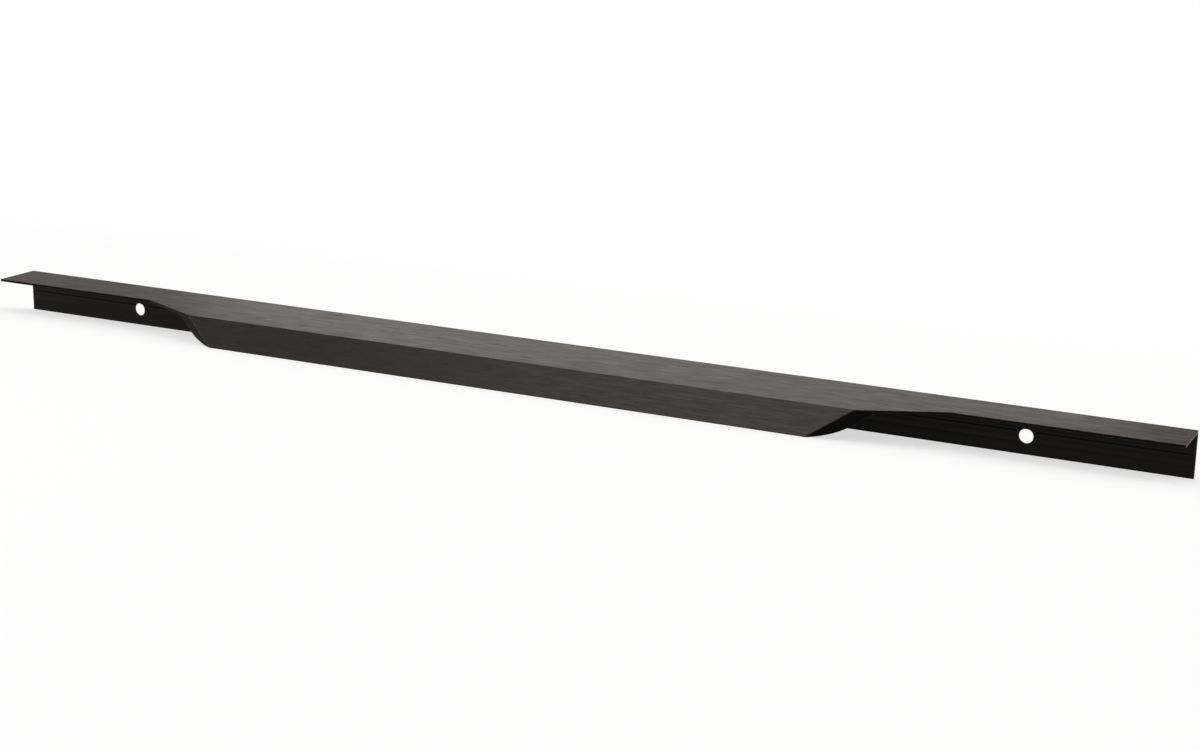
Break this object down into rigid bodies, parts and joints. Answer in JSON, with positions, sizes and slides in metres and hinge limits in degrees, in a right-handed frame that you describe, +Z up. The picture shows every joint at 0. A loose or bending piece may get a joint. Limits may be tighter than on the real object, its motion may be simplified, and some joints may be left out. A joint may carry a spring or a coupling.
{
  "type": "handleless finger pull profile",
  "caption": "Aluminium edge pull for a door or drawer front: a thin plate with a rear screw flange and a sloping front lip, its lip milled back at both ends in a taper.",
  "frame": {"origin": "on the floor under the middle of the bounding box, as the profile rests by itself", "axes": "+X along the profile, +Y from the lip towards the rear flange, +Z up as it rests unheld, with the plate leaning 9.5 degrees down to the front. Fitted on a door, the plate is level"},
  "size_m": [0.5, 0.0422, 0.0169],
  "materials": {
    "black_aluminium": "brushed along the length and anodised black"
  },
  "bodies": {
    "root": {"finger_pull_profile": "black_aluminium"}
  },
  "joints": []
}
